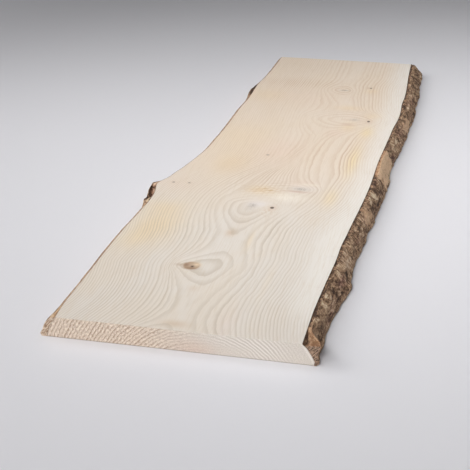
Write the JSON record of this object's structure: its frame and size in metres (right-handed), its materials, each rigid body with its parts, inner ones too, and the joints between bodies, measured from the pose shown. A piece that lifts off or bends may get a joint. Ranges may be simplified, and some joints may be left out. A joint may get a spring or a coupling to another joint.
{
  "type": "live edge board",
  "caption": "Planed silver fir plank, sawn square at both ends, with natural wavy edges that keep their bark and a hollow branch collar on one side.",
  "frame": {"origin": "middle of the underside: the centre of the board's length and greatest width, on the face it lies on", "axes": "+Y along the board from the end with the wide straight grain to the other, +Z out of the narrower planed face, +X across to the edge with the thick bark"},
  "size_m": [0.3424, 1.1, 0.024],
  "materials": {
    "fir_wood": "planed and unfinished, matt",
    "bark": "rough dry bark"
  },
  "bodies": {
    "root": {"board": "fir_wood", "bark_left": "bark", "bark_right": "bark"}
  },
  "joints": []
}
